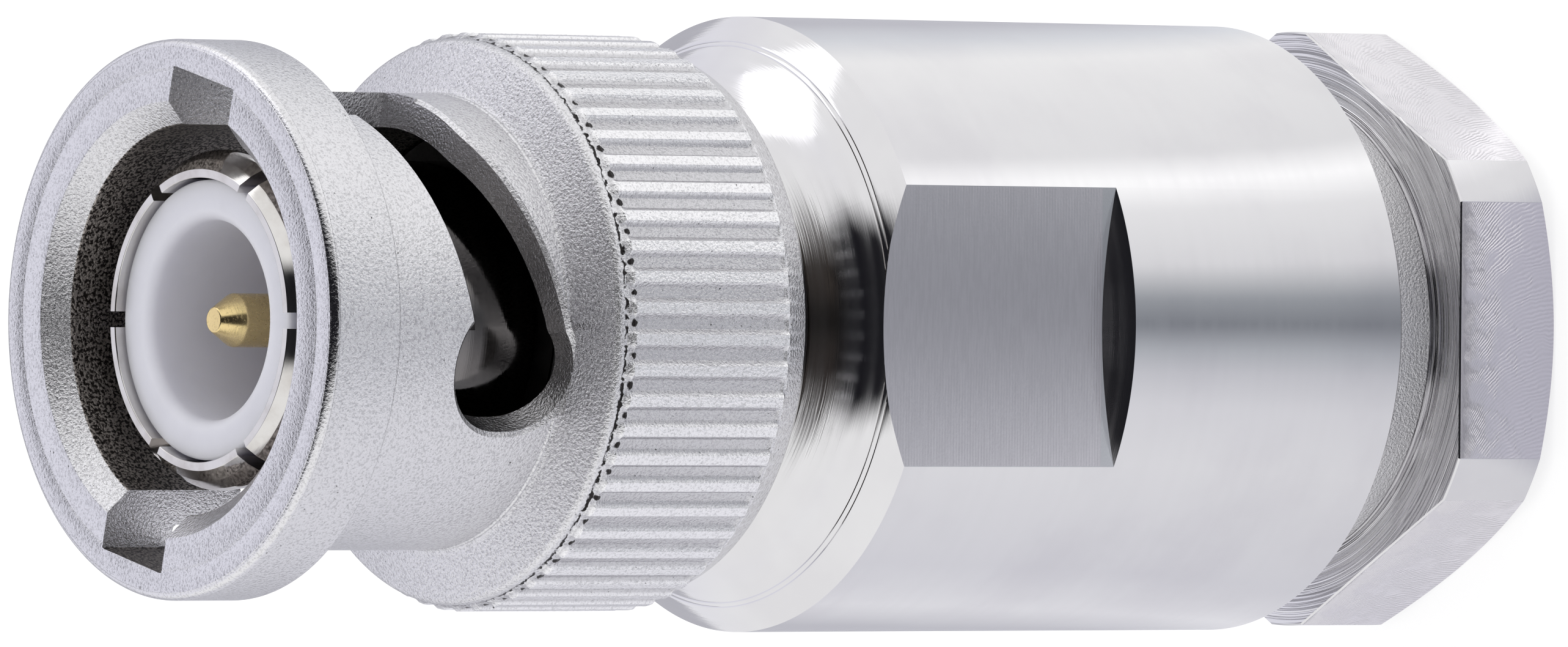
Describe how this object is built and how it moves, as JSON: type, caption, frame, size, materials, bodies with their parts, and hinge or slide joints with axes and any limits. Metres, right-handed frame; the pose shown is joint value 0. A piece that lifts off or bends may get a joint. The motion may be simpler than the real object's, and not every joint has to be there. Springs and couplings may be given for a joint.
{
  "type": "coaxial plug",
  "caption": "Straight bayonet coaxial cable plug: sprung turning ring with J-slots, slotted contact fingers, centre pin, body with wrench flats and hexagonal clamp nut.",
  "frame": {"origin": "centre of the clamp nut's rear face, where the plug stands", "axes": "+Z along the plug's axis towards the mating end, -Y square to the near wrench flat of the body, +X completes the frame"},
  "size_m": [0.0156, 0.0156, 0.0394],
  "materials": {
    "cast_nickel": "nickel plate over a grainy casting",
    "turned_nickel": "bright nickel plate over turned brass",
    "ptfe": "waxy white",
    "gold_plate": "gold plate, satin",
    "silicone": "matte",
    "spring_steel": "satin",
    "gasket_rubber": "matte"
  },
  "bodies": {
    "plug": {"outer_contact": "turned_nickel", "front_insulator": "ptfe", "rear_insulator": "ptfe", "center_pin": "gold_plate", "face_gasket": "silicone", "plug_body": "turned_nickel", "braid_clamp": "turned_nickel", "v_gasket": "gasket_rubber", "wave_washer_front": "spring_steel", "wave_washer_rear": "spring_steel"},
    "spring_follower": {"thrust_washer": "turned_nickel"},
    "ring": {"coupling_ring": "cast_nickel", "retaining_ring": "spring_steel"},
    "nut_carrier": {"slip_washer": "turned_nickel"},
    "nut": {"clamp_nut": "turned_nickel"}
  },
  "joints": [
    {"name": "ring_push", "type": "slide", "parent": "plug", "child": "spring_follower", "axis": [0, 0, 1], "range_m": [0, 0.0008], "stiffness_N_per_m": 6000, "deforming": ["wave_washer_front", "wave_washer_rear"]},
    {"name": "ring_turn", "type": "hinge", "parent": "spring_follower", "child": "ring", "pos_m": [0, 0, 0.032], "axis": [0, 0, 1], "continuous": true},
    {"name": "nut_travel", "type": "slide", "parent": "plug", "child": "nut_carrier", "axis": [0, 0, 1], "range_m": [-0.0022, 0.0012], "deforming": ["v_gasket"]},
    {"name": "nut_turn", "type": "hinge", "parent": "nut_carrier", "child": "nut", "pos_m": [0, 0, 0.004], "axis": [0, 0, 1], "range_deg": [-793, 433]}
  ],
  "couplings": [
    {"joint": "nut_turn", "follows": "nut_travel", "rad_per_m": 6283.2}
  ]
}
